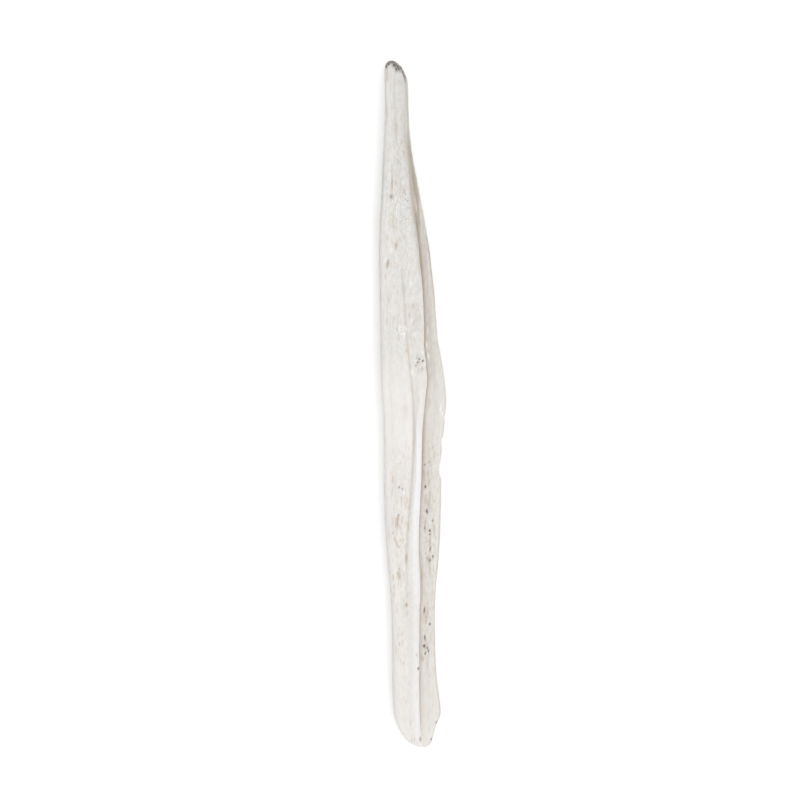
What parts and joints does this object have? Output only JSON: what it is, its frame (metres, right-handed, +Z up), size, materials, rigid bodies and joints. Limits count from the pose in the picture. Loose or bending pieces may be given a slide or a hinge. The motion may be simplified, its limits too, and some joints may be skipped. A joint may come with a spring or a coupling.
{
  "type": "wolf baculum",
  "caption": "Cleaned, dry wolf baculum: a slim tapering bone with a rounded base, a grooved middle between a high and a low lip, and a solid blunt tip, lying on its flank.",
  "frame": {"origin": "on the surface that the bone lies on, under the middle of its bounding box", "axes": "+Y runs along the bone from its base to its tip, +Z is up from the surface that it lies on, and +X is the side that the groove opens to"},
  "size_m": [0.0094, 0.097, 0.0062],
  "materials": {
    "bone": "dry, off-white bone with a soft low sheen, lengthwise streaks, small dark pores and a brown stain at the tip"
  },
  "bodies": {
    "root": {"baculum": "bone"}
  },
  "joints": []
}
